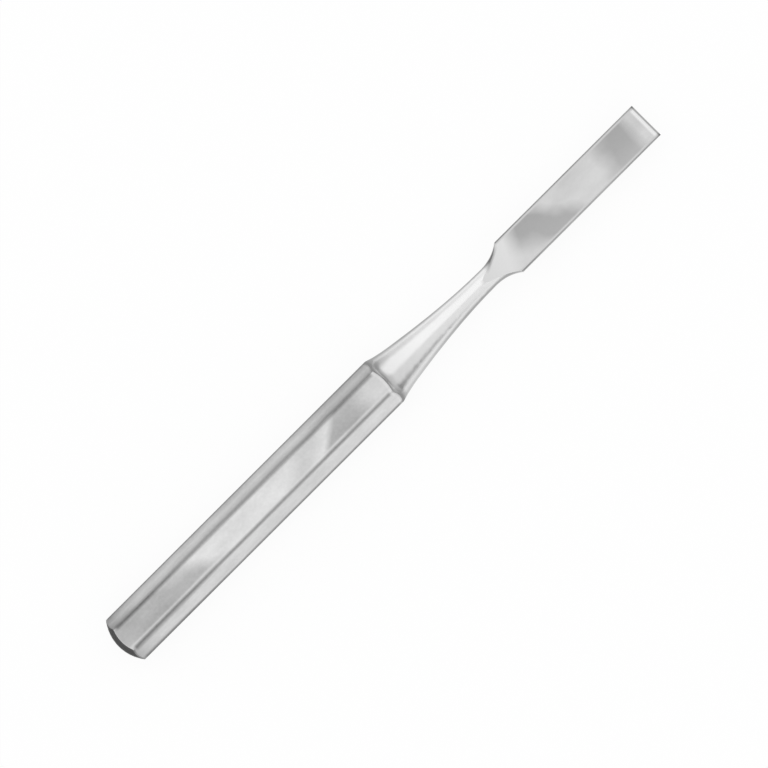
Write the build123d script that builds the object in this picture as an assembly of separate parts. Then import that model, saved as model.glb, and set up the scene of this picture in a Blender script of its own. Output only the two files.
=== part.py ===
from build123d import *
import math
import os

# Osteotome: a hexagonal handle with a crowned striking end, a slim neck and a
# straight double-bevelled blade, all one piece of hardened stainless steel.
# It is built along +X from the striking end, with its faces level, and then set
# down on a flat of the handle. All sizes are in millimetres.

os.makedirs("parts", exist_ok=True)

# Handle
handle_length = 120.5
across_flats = 15.7
ridge_radius = 0.8
crown_radius = 14.5
crown_edge_radius = 0.3

# Shoulder, where the flats run out into the neck
cove_length = 3.2
shoulder_ease_length = 8.0
neck_base_width = 16.9
neck_base_height = 13.2

# Neck
neck_length = 48.0
neck_base_taper = 9.4
waist_diameter = 7.2
neck_sections = 16

# Flare and blade
flare_radius = 14.7
blade_width = 13.2
blade_length = 62.6
blade_thickness = 4.3
runout_length = 3.0
runout_radius = 89.0

# Cutting edge
bevel_length = 6.0
bevel_angle = 9.0
honed_length = 1.2
honed_angle = 13.0
side_chamfer_width = 0.9
side_chamfer_depth = 0.35
edge_break_width = 0.2
edge_break_depth = 0.4

# Sizes that follow from the ones above
half_flats = across_flats / 2
corner_radius = half_flats / math.cos(math.radians(30))
waist_radius = waist_diameter / 2
half_blade = blade_width / 2
flare_rise = half_blade - waist_radius
flare_length = math.sqrt(2 * flare_radius * flare_rise - flare_rise**2)
waist_x = handle_length + neck_length
blade_x = waist_x + flare_length
edge_x = blade_x + blade_length
root_x = blade_x + runout_length
honed_rise = honed_length * math.tan(math.radians(honed_angle))
bevel_rise = (bevel_length - honed_length) * math.tan(math.radians(bevel_angle))
face_rise = blade_thickness / 2 - honed_rise - bevel_rise
face_angle = math.atan2(face_rise, edge_x - bevel_length - root_x)
blank_radius = half_blade + blade_thickness / 2
clear = across_flats


def ease(fraction):
    """A share that falls from 1 to 0 and comes in level at 0."""
    return max(0.0, 1 - fraction)


def taper(start, end, slope, fraction):
    """Half size along the neck: leaves start with a slope, arrives level at end."""
    u = fraction
    from_start = (2 * u**3 - 3 * u**2 + 1) * start
    from_slope = (u**3 - 2 * u**2 + u) * slope * neck_length
    from_end = (3 * u**2 - 2 * u**3) * end
    return from_start + from_slope + from_end


def oval(x, half_width, half_height):
    """An upright oval section at x, made of an upper and a lower half."""
    section = Plane(origin=(x, 0, 0), x_dir=(0, 1, 0), z_dir=(1, 0, 0))
    upper = EllipticalCenterArc((0, 0), half_width, half_height, 0, arc_size=180)
    lower = EllipticalCenterArc((0, 0), half_width, half_height, 180, arc_size=180)
    return section * make_face([upper, lower])


def neck_section(distance):
    """The neck's section at a distance from the shoulder.

    It starts on the circle through the handle's corners. In height it drops at
    once, down a cove, and in width it eases slowly into the long taper.
    """
    along = distance / neck_length
    slope = -math.tan(math.radians(neck_base_taper))
    width = taper(neck_base_width / 2, waist_radius, slope, along)
    height = taper(neck_base_height / 2, waist_radius, slope / 2, along)
    width += (corner_radius - neck_base_width / 2) * ease(distance / shoulder_ease_length) ** 2
    height += (corner_radius - neck_base_height / 2) * ease(distance / cove_length) ** 3
    return oval(handle_length + distance, width, height)


def make_barrel():
    """The round envelope of the handle, with its crowned striking end."""
    apex = (0, 0)
    rim_x = crown_radius - math.sqrt(crown_radius**2 - corner_radius**2)
    lines = [
        RadiusArc(apex, (rim_x, corner_radius), crown_radius),
        Line((rim_x, corner_radius), (handle_length, corner_radius)),
        Line((handle_length, corner_radius), (handle_length, 0)),
        Line((handle_length, 0), apex),
    ]
    return revolve(make_face(lines), Axis.X)


def make_neck():
    """The neck, lofted through ovals that lie close together at the cove."""
    shares = [step / neck_sections for step in range(neck_sections + 1)]
    return loft([neck_section(neck_length * share**2) for share in shares])


def make_hexagon():
    """The hexagonal bar that the handle is made from, with rounded ridges."""
    section = RegularPolygon(half_flats, 6, major_radius=False)
    section = fillet(section.vertices(), ridge_radius)
    across = Plane(origin=(-clear, 0, 0), x_dir=(0, 1, 0), z_dir=(1, 0, 0))
    return extrude(across * section, waist_x + clear)


def make_blank():
    """The round blank of the flare and the blade, cut to the blade's width."""
    turn = math.acos(1 - (blank_radius - waist_radius) / flare_radius)
    blank_x = waist_x + flare_radius * math.sin(turn)
    waist = (waist_x, waist_radius)
    lines = [
        RadiusArc(waist, (blank_x, blank_radius), -flare_radius),
        Line((blank_x, blank_radius), (edge_x, blank_radius)),
        Line((edge_x, blank_radius), (edge_x, 0)),
        Line((edge_x, 0), (waist_x, 0)),
        Line((waist_x, 0), waist),
    ]
    sides = Box(edge_x, blade_width, across_flats * 2, align=(Align.MIN, Align.CENTER, Align.CENTER))
    return revolve(make_face(lines), Axis.X) & sides


def make_grinding():
    """What is left after the blade's faces and bevels are ground, seen from the side."""
    honed = (edge_x - honed_length, honed_rise)
    bevel = (edge_x - bevel_length, honed_rise + bevel_rise)
    root = (root_x, blade_thickness / 2)
    turn = math.degrees(math.acos(1 - corner_radius / runout_radius))
    towards_handle = (-math.cos(face_angle), math.sin(face_angle))
    runout = JernArc(root, towards_handle, runout_radius, -turn)
    top = (runout @ 1).Y
    lines = [
        Polyline((edge_x, 0), honed, bevel, root),
        runout,
        Polyline(runout @ 1, (-clear, top), (-clear, 0), (edge_x, 0)),
    ]
    upper = make_face(lines)
    both = upper + mirror(upper, about=Plane.XZ)
    return extrude(Plane.XZ * both, corner_radius * 2, both=True)


def make_edge_chamfers():
    """Four long cutters that chamfer the blade's edges, along the ground faces.

    Each leaves a wide shallow chamfer on the face and a narrow steep one, which
    takes the sharpness off, where that chamfer meets the blade's side.
    """
    steepness = side_chamfer_depth / side_chamfer_width
    break_drop = steepness * (side_chamfer_width - edge_break_width)
    inner = (half_blade - 2 * side_chamfer_width, side_chamfer_depth)
    middle = (half_blade - edge_break_width, -break_drop)
    outer = (half_blade + edge_break_width, -break_drop - 2 * edge_break_depth)
    above = (half_blade + edge_break_width, clear)
    along = (math.cos(face_angle), 0, -math.sin(face_angle))
    root = Plane(origin=(root_x, 0, blade_thickness / 2), x_dir=(0, 1, 0), z_dir=along)
    section = root * make_face(Polyline(inner, middle, outer, above, close=True))
    cutter = extrude(section, blade_length) + extrude(section, -flare_length)
    pair = cutter + mirror(cutter, about=Plane.XZ)
    return pair + mirror(pair, about=Plane.XY)


def make_handle():
    """The hexagonal bar with its crown, running out into the neck."""
    handle = make_hexagon() & (make_barrel() + make_neck())
    crown = handle.faces().filter_by(GeomType.SPHERE)
    return fillet(crown.edges(), crown_edge_radius)


def make_osteotome():
    """The whole tool, set down on a flat of the handle, centred on its length."""
    tool = (make_handle() + make_blank()) & make_grinding()
    tool = tool - make_edge_chamfers()
    return Pos(-edge_x / 2, 0, half_flats) * tool


osteotome = make_osteotome()
osteotome.label = "osteotome"
export_step(osteotome, "parts/osteotome.step")
print("osteotome", osteotome.is_valid, round(osteotome.volume), osteotome.bounding_box().size)
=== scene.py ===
import math

import bpy
from mathutils import Matrix, Vector


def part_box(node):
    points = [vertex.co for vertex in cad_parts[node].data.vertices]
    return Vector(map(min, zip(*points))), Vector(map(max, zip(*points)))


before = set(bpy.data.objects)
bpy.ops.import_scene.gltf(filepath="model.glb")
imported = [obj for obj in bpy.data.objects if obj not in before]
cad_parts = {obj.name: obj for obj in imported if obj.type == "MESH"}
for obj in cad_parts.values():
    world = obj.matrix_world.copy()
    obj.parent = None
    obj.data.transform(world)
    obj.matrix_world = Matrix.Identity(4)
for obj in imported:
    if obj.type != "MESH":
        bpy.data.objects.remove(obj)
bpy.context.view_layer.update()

# The osteotome lies on a flat of its handle, with its struck end towards -X and its
# cutting edge towards +X. Places along it are in millimetres from the struck end,
# and places across it in millimetres from its middle, with the left side (+Y) positive.
MM = 0.001
tool_low, tool_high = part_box("osteotome")

BUTT_X = tool_low.x
AXIS_Z = (tool_low.z + tool_high.z) / 2

# Stations along the tool
LENGTH = (tool_high.x - tool_low.x) / MM
SHOULDER = 120.5
BLADE = 177.4
ROOT = 180.4
BEVEL = LENGTH - 6.0
HONED = LENGTH - 1.2

# Sizes of the handle and the blade. The handle has six flats, and the square of its
# reach at a ridge is at most 4/3 of that at a flat.
HALF_FLAT_ANGLE = math.radians(30)
HALF_FLATS = (tool_high.z - tool_low.z) / 2 / MM
HALF_SIDE = HALF_FLATS * math.tan(HALF_FLAT_ANGLE)
FARTHEST_SQUARED = HALF_FLATS**2 * 1.34
CROWN_RADIUS = 14.5
HALF_BLADE = 6.6
EDGE_CHAMFER = 0.9
BLADE_HALF_THICK = 2.15
RUNOUT_RADIUS = 89.0
FACE_SLOPE = 0.0207

# Three kinds of numbers follow. Tones are shares of white. A ramp is a pair, where a
# change starts and how wide it is. A band has a centre, a reach and a soft edge.

# Noise in the steel: scale, detail and stretch, where below 1 draws it out lengthwise
RIPPLE = (55.0, 3.0, 1.0)
WISPS = (150.0, 4.0, 0.45)
MOTTLE = (900.0, 3.0, 1.0)
GRAIN = (2600.0, 4.0, 0.12)
NOISE_ROUGHNESS = 0.55

# Which way the steel faces, or which half of the tool it is on
FACES_UP = (0.75, 0.2)
FACES_LEFT = (0.1, 0.4)
LEANS_LEFT = (-0.1, 0.5)
LEANS_RIGHT = (0.2, 0.4)
SLOPES_AWAY = (0.6, 0.2)
LEFT_HALF = (-1, 2)

# Handle: tones of its faces, with the left side darker as painted shade, and of the clouds on its
# flats, which are painted reflections
FLAT_TONE = 0.675
FLAT_CLOUD_TONE = 0.40
FLAT_WISPS = 0.3
LEFT_SIDE_TONE = 0.61
LEFT_SIDE_WISPS = 0.26
RIGHT_SIDE_TONE = 0.70
RIGHT_SIDE_WISPS = 0.3

# Handle: the painted reflection, a dark cloud, near the struck end
BUTT_REFLECTION_SLANT, BUTT_REFLECTION_RAGGED = 2, 22
BUTT_REFLECTION = (28, 12)
BUTT_REFLECTION_DEPTH, BUTT_REFLECTION_WISPS = 0.86, 1.2
BUTT_REFLECTION_HEART = (16, 3, 9)
BUTT_REFLECTION_HEART_DEPTH, BUTT_REFLECTION_HEART_SIDES = 0.07, 0.2
OFF_MIDDLE = (0.6, 1.8)
BUTT_REFLECTION_RIM = (3, 12)
BUTT_REFLECTION_RIM_LOSS = 0.06

# Handle: the painted reflections near the neck, clouds, and the clear strip beside the right ridge
NECK_CLOUD_LEAN, NECK_CLOUD_RAGGED = 1.15, 3
NECK_CLOUD = (94.2, 3.4)
NECK_CLOUD_DEPTH, NECK_CLOUD_ACROSS, NECK_CLOUD_WISPS = 0.90, 0.045, 0.6
NECK_CLOUD_FADE, NECK_CLOUD_LOSS, NECK_FADE_RAGGED = (106, 10), 0.75, 12
FAINT_CLOUD, FAINT_DEPTH = (86, 2, 7), 0.35
CLEAR_STRIP, CLEAR_DEPTH, CLEAR_RAGGED = (-3.5, 0.7), 0.7, 0.8

# Handle: painted shade on parts of the sides
BESIDE_RIDGE, BESIDE_RIDGE_LOSS = (0.9, 3.6), 0.15
SHADE_BUTT, SHADE_BUTT_RAGGED, SHADE_BUTT_MORE = (4, 12), 8, 1.9
SHADE_NECK, SHADE_NECK_RAGGED = (92, 9), 14
SHADE_LOSS = 0.09
RIGHT_BUTT, RIGHT_BUTT_LOSS = (4, 14), 0.14

# Handle: the painted shade lines along its ridges
DARKER_BUTT = (22, 22)
LINE_START = (3.3, 1.2)
LINE_END = (SHOULDER - 1.6, 1.0)
SIDE_LINE_REACH, SIDE_LINE_REACH_LEFT = 0.25, 0.2
SIDE_LINE_SOFT, SIDE_LINE_SOFT_LEFT, SIDE_LINE_SOFT_BUTT = 1.1, 0.5, 1.2
SIDE_LINE_LEFT_LOSS = 0.4
FLAT_LINE_REACH, FLAT_LINE_REACH_LEFT = 0.3, 0.12
FLAT_LINE_SOFT, FLAT_LINE_SOFT_LEFT = 0.75, 0.2
LINE_DEPTH, LINE_DEPTH_LEFT, LINE_WISPS = 0.46, 0.08, 0.35
LINE_DEPTH_BUTT, LINE_DEPTH_BUTT_LEFT = 0.13, 0.09

# Handle: its painted dark outline, and its crown, with painted shade where the crown slopes away
OUTLINE_START, OUTLINE_LEFT, OUTLINE_WIDTH = 8.15, 0.2, 0.35
OUTLINE_DEPTH, OUTLINE_DEPTH_LEFT = 0.42, 0.12
OUTLINE_ALONG, OUTLINE_GAIN = (3, 20), 0.4
CROWN_TONE, CROWN_SIDE_LOSS = 0.60, 0.25
CROWN_EDGE, CROWN_EDGE_SIDE, CROWN_EDGE_WIDTH = 0.06, 0.45, 0.14

# Shoulder: where the flats end, and the neck's polish begins; the line and the cove are painted
# shade, the strip before the line a painted highlight
SCALLOP_DEPTH = 0.8
SIDES_END_SOONER, LEFT_ENDS_SOONER = 0.2, 0.4
PAST_FLATS = (0.0, 0.12)
BELOW_FLATS = (0.15, 0.2)
NEAR_SHOULDER = (SHOULDER - 1, 0.5)
SHOULDER_LINE, SHOULDER_LINE_DEPTH = (0.35, 0.35, 0.55), 0.24
FLAT_END_HIGHLIGHT, FLAT_END_HIGHLIGHT_GAIN = (-0.75, 0.2, 0.5), 0.07
COVE, COVE_DEPTH, COVE_RIGHT = (1.2, 1.6), 0.17, 0.25
COVE_LEFT, COVE_LEFT_FADE, COVE_LEFT_DEPTH = (2.7, 1.2), (1.8, 5), 0.21

# Neck, darker near its start as painted shade, lighter on its left as a painted highlight, and
# with painted shade on its steep sides
NECK_TONE, NECK_WISPS = 0.79, 0.02
NECK_START, NECK_START_LOSS = (SHOULDER, 18), 0.10
NECK_LEFT, NECK_LEFT_ALONG, NECK_LEFT_GAIN = (0.4, 0.3), (130, 20), 0.07
SLIM = (130, 25)
STEEP_START, STEEP_LEFT, STEEP_SLIM, STEEP_WIDTH = 0.36, 0.04, 0.1, 0.25
STEEP_DEPTH, STEEP_DEPTH_LEFT, STEEP_DEPTH_SLIM, STEEP_MOST = 0.30, 0.2, 0.26, 0.62
STEEP_LEFT_ALONG, STEEP_LEFT_MORE = (124, 12), 0.1

# Flare: painted dark reflections, a crescent on its left, and a streak beside the ground tongue
CRESCENT, CRESCENT_SIDE, CRESCENT_DEPTH = (173.6, 1.6, 3.2), (0.35, 0.3), 0.74
TONGUE_EDGE, TONGUE_FROM, TONGUE_SPREAD = 2.5, 170.2, 0.5
STREAK, STREAK_ALONG, STREAK_DEPTH = (-0.25, 0.35, 0.8), (173.0, 1.6, 2.8), 0.45

# Blade: what of it is ground
GROUND_FACE = (0.97, 0.01)
GROUND_LEVEL = (0.04, 0.18)
TONGUE_START = (ROOT - 17, 0.2)
FACE_START = (ROOT - 1, 0.5)
CHAMFER_START, CHAMFER_INNER, CHAMFER_FACE = (BLADE - 6, 0.5), (5.3, 0.3), (0.3, 0.2)
BLADE_START = (BLADE - 0.3, 0.4)

# Blade: tones with painted reflections, highlights and shade, and where they change
BLADE_TONE, BLADE_CLOUD_TONE = 0.62, 0.39
BLADE_WISPS, BLADE_ACROSS_LOSS = 0.24, 0.004
CLOUD_DEPTH, CLOUD_WISPS = 0.95, 1.0
FIRST_CLOUD_START, FIRST_CLOUD_END, FIRST_RAGGED = (179.5, 8.5), (195.5, 6.5), 12
SECOND_CLOUD_START, SECOND_CLOUD_END = (216, 9), (BEVEL - 2.2, 4.2)
SECOND_LEAN, SECOND_RAGGED, SECOND_ACROSS = 0.3, 14, 0.03
FLARE_FACE_TONE, FLARE_FACE, FLARE_FACE_LEAN = 0.71, (177, 6), 0.5
BEVEL_START, BEVEL_GAIN = (BEVEL - 0.1, 0.2), 0.06
HONED_HIGHLIGHT, HONED_START = 0.90, (HONED - 0.9, 0.7)
RIM, RIM_TONE, RIM_LEFT_LOSS = (HALF_BLADE - EDGE_CHAMFER - 0.35, 0.5), 0.64, 0.15
EDGE_LINE, EDGE_LINE_DEPTH, EDGE_LINE_RAGGED = (HALF_BLADE - 0.62, 0.3), 0.5, 0.7
WALL, WALL_TONE = (0.03, 0.1), 0.40
TIP_LINE, TIP_LINE_DEPTH = (LENGTH - 0.75, 0.25), 0.5

# The steel's fine texture and its polish
MOTTLE_DEPTH, MOTTLE_NECK_LOSS = 0.11, 0.8
GRAIN_DEPTH, CROWN_TEXTURE_LOSS = 0.03, 0.9
SATIN_ROUGHNESS, POLISHED_ROUGHNESS, GRAIN_ROUGHNESS = 0.36, 0.17, 0.10
BUMP_STRENGTH, BUMP_DISTANCE = 0.2, 0.00002

# Floor: its size, and the dark card beyond the struck end that only reflections see
FLOOR_HALF = 3.0
FLOOR_DROP = 0.01 * MM
FLOOR_WHITE_SHARE = 0.9
RAYS = {"camera": 0, "glossy": 3, "transmission": 6}
CARD_START, CARD_END, CARD_SIDES = (-2, 6), (70, 40), (30, 30)
CARD_DEPTH = 0.93

# World: a white tent, with a large light overhead that leans to the left
KEY_LEAN, KEY_SPREAD = 28.0, 38.0
KEY_LIGHT, KEY_EDGE = 1.15, (math.cos(math.radians(KEY_SPREAD)), 0.118)
TENT_LIGHT, TENT_FRONT, TENT_FRONT_LOSS = 0.98, (0.05, 0.25), 0.17
TO_THE_RIGHT = (0.1, 0.4)
GAP_HEIGHT, GAP_REACH, GAP_SOFT, GAP_DEPTH = 0.40, 0.05, 0.22, 0.50
GAP_WIDENS, GAP_MORE = (0.2, 0.1), 0.1
GAP_START, GAP_END = (0.09, 0.12), (0.3, 0.22)
LOW, LOW_FRONT, LOW_LEFT_DEPTH = (0.35, 0.25), (0.15, 0.15), 0.15

# Camera
VIEW_WIDTH = 247.4 * MM
VIEW_TILT = 2.8
VIEW_TURN = -44.93
VIEW_DISTANCE = 1.6
VIEW_AIM = (0.19 * MM, -0.49 * MM, AXIS_Z)
SENSOR_WIDTH = 36.0


class Signal:
    """A socket that carries a number, so that shader maths reads as arithmetic."""

    def __init__(self, graph, socket):
        self.graph = graph
        self.socket = socket

    def _math(self, operation, *values):
        return self.graph.maths(operation, *values)

    def __add__(self, other):
        return self._math("ADD", self, other)

    def __radd__(self, other):
        return self._math("ADD", other, self)

    def __sub__(self, other):
        return self._math("SUBTRACT", self, other)

    def __rsub__(self, other):
        return self._math("SUBTRACT", other, self)

    def __mul__(self, other):
        return self._math("MULTIPLY", self, other)

    def __rmul__(self, other):
        return self._math("MULTIPLY", other, self)

    def __truediv__(self, other):
        return self._math("DIVIDE", self, other)

    def __abs__(self):
        return self._math("ABSOLUTE", self)

    def at_least(self, lowest):
        return self._math("MAXIMUM", self, lowest)

    def at_most(self, highest):
        return self._math("MINIMUM", self, highest)

    def clipped(self):
        """The same number, kept between 0 and 1."""
        settings = {"operation": "ADD", "use_clamp": True}
        return self.graph.node("ShaderNodeMath", settings, {0: self, 1: 0.0})


class Graph:
    """The nodes of one material or world."""

    def __init__(self, tree):
        self.tree = tree
        tree.nodes.clear()

    def node(self, kind, settings=None, inputs=None, output=0):
        """Add a node: its settings first, then its sockets' values or links."""
        made = self.tree.nodes.new(kind)
        for name, value in (settings or {}).items():
            setattr(made, name, value)
        for name, value in (inputs or {}).items():
            socket = made.inputs[name]
            if isinstance(value, Signal):
                self.tree.links.new(value.socket, socket)
            else:
                socket.default_value = value
        return Signal(self, made.outputs[output])

    def maths(self, operation, *values):
        """One Math node on one or two numbers."""
        return self.node("ShaderNodeMath", {"operation": operation}, dict(enumerate(values)))

    def parts(self, vector):
        """The three numbers of a vector."""
        inputs = {0: vector}
        return [self.node("ShaderNodeSeparateXYZ", inputs=inputs, output=i) for i in range(3)]

    def tone(self, level):
        """A grey of that level."""
        return self.node("ShaderNodeCombineColor", inputs={0: level, 1: level, 2: level})

    def finish(self, kind, surface):
        """Add the output node and link the surface to it."""
        made = self.tree.nodes.new(kind)
        self.tree.links.new(surface.socket, made.inputs["Surface"])


def step_up(value, ramp):
    """A soft step from 0 to 1 over the ramp."""
    start, width = ramp
    return ((value - start) / width).clipped()


def step_down(value, ramp):
    """A soft step from 1 to 0 over the ramp."""
    return 1 - step_up(value, ramp)


def hump(value, band):
    """1 within reach of the band's centre, falling to 0 over its soft edge."""
    centre, reach, soft = band
    return ((reach + soft - abs(value - centre)) / soft).clipped()


def grey(tone):
    return (tone, tone, tone, 1.0)


def over(tone, value, mask):
    """Lay a value over a tone, as far as the mask says."""
    return tone + (value - tone) * mask


class Places:
    """Where a point of the steel is, which way it faces, and the noise there."""

    def __init__(self, graph):
        self.graph = graph
        self.point = graph.node("ShaderNodeTexCoord", output=3)
        x, y, z = graph.parts(self.point)
        self.along = (x - BUTT_X) / MM
        self.across = y / MM
        self.height = (z - AXIS_Z) / MM
        _, self.facing_left, up = graph.parts(graph.node("ShaderNodeTexCoord", output=1))
        self.facing_up = abs(up)

        self.left = step_up(self.facing_left, LEANS_LEFT)
        self.right = step_up(0 - self.facing_left, LEANS_RIGHT)
        self.on_side = step_down(self.facing_up, SLOPES_AWAY)
        self.measure_handle()

        self.ripple = self.noise(*RIPPLE)
        self.wisps = self.noise(*WISPS)
        self.mottle = self.noise(*MOTTLE)
        self.grain = self.noise(*GRAIN)

    def noise(self, scale, detail, stretch):
        """Soft noise around 0."""
        inputs = {"Vector": self.point, "Scale": (stretch, 1.0, 1.0)}
        space = self.graph.node("ShaderNodeMapping", inputs=inputs)
        inputs = {"Vector": space, "Scale": scale, "Detail": detail, "Roughness": NOISE_ROUGHNESS}
        return self.graph.node("ShaderNodeTexNoise", inputs=inputs) - 0.5

    def measure_handle(self):
        """Distance from the nearest ridge, below the flats, and from the crown's dome."""
        maths = self.graph.maths
        turn = maths("ARCTAN2", self.height, self.across)
        off_middle = HALF_FLAT_ANGLE - maths("PINGPONG", turn, HALF_FLAT_ANGLE)
        radius = maths("SQRT", self.across * self.across + self.height * self.height)
        self.ridge = (HALF_SIDE - HALF_FLATS * maths("TANGENT", off_middle)).at_least(0)
        self.depth = HALF_FLATS - radius * maths("COSINE", off_middle)
        within = (radius * radius).at_most(FARTHEST_SQUARED)
        dome = CROWN_RADIUS - maths("SQRT", CROWN_RADIUS**2 - within)
        self.from_dome = self.along - dome


def flat_tone(place):
    """A flat of the handle, with painted reflections on it: soft dark clouds, and a clearer strip
    beside the right ridge.
    """
    # Painted reflection: the dark cloud near the struck end.
    slanted = place.along + place.across * BUTT_REFLECTION_SLANT + place.ripple * BUTT_REFLECTION_RAGGED
    sides = step_up(abs(place.across), OFF_MIDDLE) * BUTT_REFLECTION_HEART_SIDES
    heart = hump(place.along, BUTT_REFLECTION_HEART) * (BUTT_REFLECTION_HEART_DEPTH + sides)
    struck = step_down(slanted, BUTT_REFLECTION) * (BUTT_REFLECTION_DEPTH + place.wisps * BUTT_REFLECTION_WISPS + heart)
    rim_loss = (0 - place.across * BUTT_REFLECTION_RIM_LOSS).at_least(0)
    struck = struck - step_down(place.along, BUTT_REFLECTION_RIM) * rim_loss

    # Painted reflections: the clouds near the neck, and the clearer strip beside the right ridge.
    leaning = place.along - place.across * NECK_CLOUD_LEAN + place.ripple * NECK_CLOUD_RAGGED
    fade = step_up(place.along + place.ripple * NECK_FADE_RAGGED, NECK_CLOUD_FADE)
    depth = NECK_CLOUD_DEPTH - place.across * NECK_CLOUD_ACROSS + place.wisps * NECK_CLOUD_WISPS
    near_neck = step_up(leaning, NECK_CLOUD) * (1 - fade * NECK_CLOUD_LOSS) * depth
    faint = hump(leaning, FAINT_CLOUD) * FAINT_DEPTH

    strip = step_up(place.across + place.ripple * CLEAR_RAGGED, CLEAR_STRIP)
    clear = strip * CLEAR_DEPTH + (1 - CLEAR_DEPTH)
    clouds = (struck + near_neck + faint).clipped() * clear
    return over(FLAT_TONE, FLAT_CLOUD_TONE, clouds) + place.wisps * FLAT_WISPS


def side_tone(place):
    """A sloping side of the handle, with painted shade: darker on the left, beside its ridge and
    towards its ends.
    """
    beside_ridge = step_down(place.ridge, BESIDE_RIDGE) * BESIDE_RIDGE_LOSS
    butt = step_down(place.along + place.ripple * SHADE_BUTT_RAGGED, SHADE_BUTT)
    neck = step_up(place.along + place.ripple * SHADE_NECK_RAGGED, SHADE_NECK)
    ends = (butt * SHADE_BUTT_MORE + neck) * SHADE_LOSS
    # Painted shade: the left side darker than the right, beside the ridge and towards the ends.
    left = LEFT_SIDE_TONE - beside_ridge - ends + place.wisps * LEFT_SIDE_WISPS
    butt = step_down(place.along, RIGHT_BUTT) * RIGHT_BUTT_LOSS
    right = RIGHT_SIDE_TONE - butt + place.wisps * RIGHT_SIDE_WISPS
    return over(right, left, step_up(place.facing_left, FACES_LEFT))


def handle_tone(place):
    """The handle's flats and sides, with a painted dark line of shade along each ridge."""
    level = step_up(place.facing_up, FACES_UP)
    tone = over(side_tone(place), flat_tone(place), level)

    left = step_up(place.across, LEFT_HALF)
    butt = step_down(place.along, DARKER_BUTT)
    reach = SIDE_LINE_REACH - left * SIDE_LINE_REACH_LEFT
    soft = SIDE_LINE_SOFT + left * SIDE_LINE_SOFT_LEFT + butt * (1 - left) * SIDE_LINE_SOFT_BUTT
    on_side = hump(place.ridge, (0, reach, soft)) * (1 - left * SIDE_LINE_LEFT_LOSS)
    reach = FLAT_LINE_REACH + left * FLAT_LINE_REACH_LEFT
    soft = FLAT_LINE_SOFT + left * FLAT_LINE_SOFT_LEFT
    on_flat = hump(place.ridge, (0, reach, soft))
    # Painted shade: the dark lines along the ridges.
    line = over(on_side, on_flat, level)
    line = line * step_up(place.along, LINE_START) * step_down(place.along, LINE_END)
    depth = LINE_DEPTH + left * LINE_DEPTH_LEFT + place.wisps * LINE_WISPS
    depth = depth + butt * (LINE_DEPTH_BUTT - left * LINE_DEPTH_BUTT_LEFT)
    return tone * (1 - line * depth)


def blade_tone(place):
    """Ground faces with painted reflections: soft dark clouds, painted highlights near the flare,
    towards their edges, on the bevels and the honed strip, and painted shade to the left, on
    left-facing rims, along the edge lines and on the walls.
    """
    # Painted reflections: the dark clouds on the faces.
    slanted = place.along + place.across + place.ripple * FIRST_RAGGED
    first = step_up(slanted, FIRST_CLOUD_START) * step_down(slanted, FIRST_CLOUD_END)
    leaning = place.along - place.across * SECOND_LEAN + place.ripple * SECOND_RAGGED
    second = step_up(leaning, SECOND_CLOUD_START) * step_down(place.along, SECOND_CLOUD_END)
    second = second * (1 + place.across * SECOND_ACROSS)
    clouds = (first + second).clipped() * (CLOUD_DEPTH + place.wisps * CLOUD_WISPS)
    tone = over(BLADE_TONE, BLADE_CLOUD_TONE, clouds)
    tone = tone + place.wisps * BLADE_WISPS - place.across * BLADE_ACROSS_LOSS

    # Painted highlights: the face near the flare, the bevel and the honed strip lighter.
    near_flare = step_down(place.along - place.across * FLARE_FACE_LEAN, FLARE_FACE)
    tone = over(tone, FLARE_FACE_TONE, near_flare)
    tone = tone * (1 + step_up(place.along, BEVEL_START) * BEVEL_GAIN)
    tone = over(tone, HONED_HIGHLIGHT, step_up(place.along, HONED_START))

    # Painted highlight on the rims, with painted shade where they face left.
    rim_tone = RIM_TONE - place.facing_left * RIM_LEFT_LOSS
    tone = over(tone, rim_tone, step_up(abs(place.across), RIM))
    # Painted shade: the dark edge lines and the darker walls.
    off_wall = step_up(place.facing_up, WALL)
    line = step_up(abs(place.across), EDGE_LINE) * off_wall
    tone = tone * (1 - line * (EDGE_LINE_DEPTH + place.ripple * EDGE_LINE_RAGGED))
    return over(tone, WALL_TONE, 1 - off_wall)


def past_flats(place):
    """How far a point is past the shallow scallops that the handle's flats end in."""
    off_middle = 1 - place.ridge / HALF_SIDE
    scallop = (1 - off_middle * off_middle) * SCALLOP_DEPTH
    sooner = place.on_side * (SIDES_END_SOONER + place.left * LEFT_ENDS_SOONER)
    return place.along - SHOULDER - scallop + sooner


def neck_mask(place, past):
    """1 on the neck's polish: past the flats, and wherever the steel lies below them."""
    below = step_up(place.depth, BELOW_FLATS) * step_up(place.along, NEAR_SHOULDER)
    return (step_up(past, PAST_FLATS) + below).clipped()


def blade_mask(place):
    """1 on the blade and on the ground tongue that runs out along the neck."""
    before_root = (ROOT - place.along).at_least(0)
    runout = BLADE_HALF_THICK + before_root * (FACE_SLOPE + before_root / (2 * RUNOUT_RADIUS))
    flat = step_up(place.facing_up, GROUND_FACE)
    tongue = flat * step_down(abs(abs(place.height) - runout), GROUND_LEVEL)
    tongue = tongue * step_up(place.along, TONGUE_START)
    ground = (tongue + flat * step_up(place.along, FACE_START)).clipped()
    chamfered = step_up(place.along, CHAMFER_START) * step_up(abs(place.across), CHAMFER_INNER)
    chamfered = chamfered * step_up(place.facing_up, CHAMFER_FACE)
    return (ground + chamfered + step_up(place.along, BLADE_START)).clipped()


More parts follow.
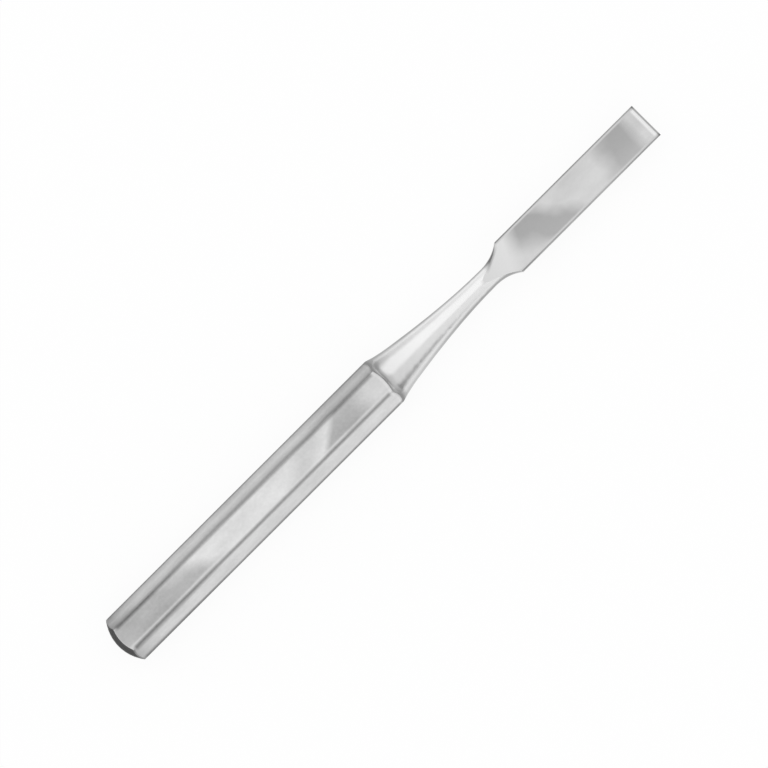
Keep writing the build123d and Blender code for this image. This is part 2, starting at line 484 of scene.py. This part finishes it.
def neck_tone(place, past):
    """The polished neck, with painted shade down in the cove below the shoulder and near its
    start, and a painted highlight on its left side.
    """
    cove = step_down(past, COVE) * (COVE_DEPTH + place.right * COVE_RIGHT)
    left = step_up(place.across, COVE_LEFT) * step_down(past, COVE_LEFT_FADE)
    cove = cove + left * COVE_LEFT_DEPTH
    tone = NECK_TONE - step_down(place.along, NECK_START) * NECK_START_LOSS
    # Painted highlight: the neck's left side lighter.
    bright_side = step_up(place.facing_left, NECK_LEFT) * step_up(place.along, NECK_LEFT_ALONG)
    tone = tone + bright_side * NECK_LEFT_GAIN
    return tone * (1 - cove) + place.wisps * NECK_WISPS


def draw_shoulder_line(tone, past):
    """Painted shade along the edge where the flats end, and a painted highlight on the paler strip
    just before it.
    """
    line = hump(past, SHOULDER_LINE) * SHOULDER_LINE_DEPTH
    return tone * (1 - line + hump(past, FLAT_END_HIGHLIGHT) * FLAT_END_HIGHLIGHT_GAIN)


def darken_steep_neck(tone, place, only_neck):
    """Painted shade on the neck's steep sides, darkest on the left and where it is slim."""
    slim = step_up(place.along, SLIM)
    start = STEEP_START + place.left * STEEP_LEFT + (1 - place.left) * slim * STEEP_SLIM
    steep = step_down(place.facing_up, (start, STEEP_WIDTH))
    left_more = step_up(place.along, STEEP_LEFT_ALONG) * STEEP_LEFT_MORE
    depth = STEEP_DEPTH + place.left * (STEEP_DEPTH_LEFT + left_more) + slim * STEEP_DEPTH_SLIM
    return tone * (1 - steep * only_neck * depth.at_most(STEEP_MOST))


def darken_flare(tone, place, on_blade):
    """Painted dark reflections: the crescent on the flare's left, and the streak beside the
    tongue.
    """
    crescent = hump(place.along, CRESCENT) * step_up(place.facing_left, CRESCENT_SIDE)
    crescent = crescent * (1 - on_blade) * CRESCENT_DEPTH
    beside = place.across - TONGUE_EDGE - (place.along - TONGUE_FROM) * TONGUE_SPREAD
    streak = hump(beside, STREAK) * hump(place.along, STREAK_ALONG) * on_blade * STREAK_DEPTH
    return tone * (1 - crescent - streak)


def draw_outline(tone, place, on_neck):
    """Painted shade on the handle's outer ridges, which look dark from above."""
    start = OUTLINE_START + place.left * OUTLINE_LEFT
    outline = step_up(abs(place.across), (start, OUTLINE_WIDTH)) * (1 - on_neck)
    along = step_up(place.along, OUTLINE_ALONG) * OUTLINE_GAIN + (1 - OUTLINE_GAIN)
    return tone * (1 - outline * (OUTLINE_DEPTH - place.left * OUTLINE_DEPTH_LEFT) * along)


def steel_material():
    """Satin ground stainless steel, with a polished neck and a honed edge."""
    material = bpy.data.materials.new("satin_steel")
    material.use_nodes = True
    graph = Graph(material.node_tree)
    place = Places(graph)

    past = past_flats(place)
    on_neck = neck_mask(place, past)
    on_blade = blade_mask(place)
    only_neck = on_neck * (1 - on_blade)
    tone = over(handle_tone(place), neck_tone(place, past), on_neck)
    tone = over(tone, blade_tone(place), on_blade)

    # Painted shade and painted reflections laid over the steel's tones.
    tone = draw_shoulder_line(tone, past)
    tone = darken_steep_neck(tone, place, only_neck)
    tone = darken_flare(tone, place, on_blade)
    tone = draw_outline(tone, place, on_neck)

    # The crown in plain steel tone, with painted shade where it slopes away from the top.
    crown_edge = (CROWN_EDGE + place.on_side * CROWN_EDGE_SIDE, CROWN_EDGE_WIDTH)
    crown = step_down(place.from_dome, crown_edge)
    tone = over(tone, CROWN_TONE - place.on_side * CROWN_SIDE_LOSS, crown)
    # Painted shade: a dark line along the cutting edge.
    tone = tone * (1 - step_up(place.along, TIP_LINE) * TIP_LINE_DEPTH)

    mottle = place.mottle * MOTTLE_DEPTH * (1 - on_neck * MOTTLE_NECK_LOSS)
    texture = mottle + place.grain * GRAIN_DEPTH
    colour = graph.tone(tone + texture * (1 - crown * CROWN_TEXTURE_LOSS))
    rough = over(SATIN_ROUGHNESS, POLISHED_ROUGHNESS, only_neck) + place.grain * GRAIN_ROUGHNESS
    bump = graph.node(
        "ShaderNodeBump",
        inputs={"Strength": BUMP_STRENGTH, "Distance": BUMP_DISTANCE, "Height": place.grain},
    )
    shader = graph.node(
        "ShaderNodeBsdfPrincipled",
        inputs={"Base Color": colour, "Metallic": 1.0, "Roughness": rough, "Normal": bump},
    )
    graph.finish("ShaderNodeOutputMaterial", shader)
    return material


def floor_material():
    """A white sweep: white to the camera and in the steel, and it keeps the shadow.

    Only reflections see the dark card that lies on it beyond the struck end.
    """
    material = bpy.data.materials.new("white_sweep")
    material.use_nodes = True
    graph = Graph(material.node_tree)
    lit = graph.node("ShaderNodeBsdfDiffuse", inputs={"Color": grey(1.0)})
    ray = {name: graph.node("ShaderNodeLightPath", output=i) for name, i in RAYS.items()}
    x, y, _ = graph.parts(graph.node("ShaderNodeTexCoord", output=3))
    past_butt = (BUTT_X - x) / MM
    card = step_up(past_butt, CARD_START) * step_down(past_butt, CARD_END)
    card = card * step_down(abs(y) / MM, CARD_SIDES)
    colour = graph.tone(1 - card * ray["glossy"] * CARD_DEPTH)
    white = graph.node("ShaderNodeEmission", inputs={"Color": colour, "Strength": 1.0})
    seen = (ray["camera"] + ray["glossy"] + ray["transmission"]).clipped() * FLOOR_WHITE_SHARE
    mixed = graph.node("ShaderNodeMixShader", inputs={0: seen, 1: lit, 2: white})
    graph.finish("ShaderNodeOutputMaterial", mixed)
    return material


def make_floor():
    half = FLOOR_HALF
    corners = [(-half, -half, 0), (half, -half, 0), (half, half, 0), (-half, half, 0)]
    mesh = bpy.data.meshes.new("floor")
    mesh.from_pydata(corners, [], [(0, 1, 2, 3)])
    floor = bpy.data.objects.new("floor", mesh)
    floor.location.z = tool_low.z - FLOOR_DROP
    bpy.context.scene.collection.objects.link(floor)
    mesh.materials.append(floor_material())


def make_world():
    """A white tent with a large soft light overhead, leaning to the left of the tool."""
    world = bpy.data.worlds.new("tent")
    bpy.context.scene.world = world
    world.use_nodes = True
    graph = Graph(world.node_tree)
    forward, left, up = graph.parts(graph.node("ShaderNodeTexCoord", output=0))

    lean = math.radians(KEY_LEAN)
    key = step_up(left * math.sin(lean) + up * math.cos(lean), KEY_EDGE)
    tent = TENT_LIGHT - step_up(forward, TENT_FRONT) * TENT_FRONT_LOSS
    right = step_up(0 - left, TO_THE_RIGHT)
    reach = GAP_REACH + step_up(forward, GAP_WIDENS) * GAP_MORE
    gap = hump(up, (GAP_HEIGHT, reach, GAP_SOFT)) * right
    gap = gap * step_up(forward, GAP_START) * step_down(forward, GAP_END)
    low_left = step_down(up, LOW) * (1 - right) * step_up(forward, LOW_FRONT)
    light = over(tent, KEY_LIGHT, key) - gap * GAP_DEPTH - low_left * LOW_LEFT_DEPTH

    to_camera = graph.node("ShaderNodeLightPath", output=RAYS["camera"])
    inputs = {"Color": grey(1.0), "Strength": over(light, 1.0, to_camera)}
    graph.finish("ShaderNodeOutputWorld", graph.node("ShaderNodeBackground", inputs=inputs))


def make_camera():
    """Almost straight down, with the tool on the picture's rising diagonal."""
    tilt = math.radians(VIEW_TILT)
    data = bpy.data.cameras.new("camera")
    data.sensor_width = SENSOR_WIDTH
    data.lens = SENSOR_WIDTH * VIEW_DISTANCE / VIEW_WIDTH
    camera = bpy.data.objects.new("camera", data)
    bpy.context.scene.collection.objects.link(camera)
    away = Vector((0, -math.sin(tilt), math.cos(tilt)))
    camera.location = Vector(VIEW_AIM) + VIEW_DISTANCE * away
    on_diagonal = Matrix.Rotation(math.radians(VIEW_TURN), 4, "Z")
    camera.rotation_euler = (Matrix.Rotation(tilt, 4, "X") @ on_diagonal).to_euler()
    bpy.context.scene.camera = camera


def dress_tool():
    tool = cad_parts["osteotome"]
    tool.data.materials.clear()
    tool.data.materials.append(steel_material())


bpy.context.scene.view_settings.view_transform = "Standard"
make_floor()
make_world()
make_camera()
dress_tool()
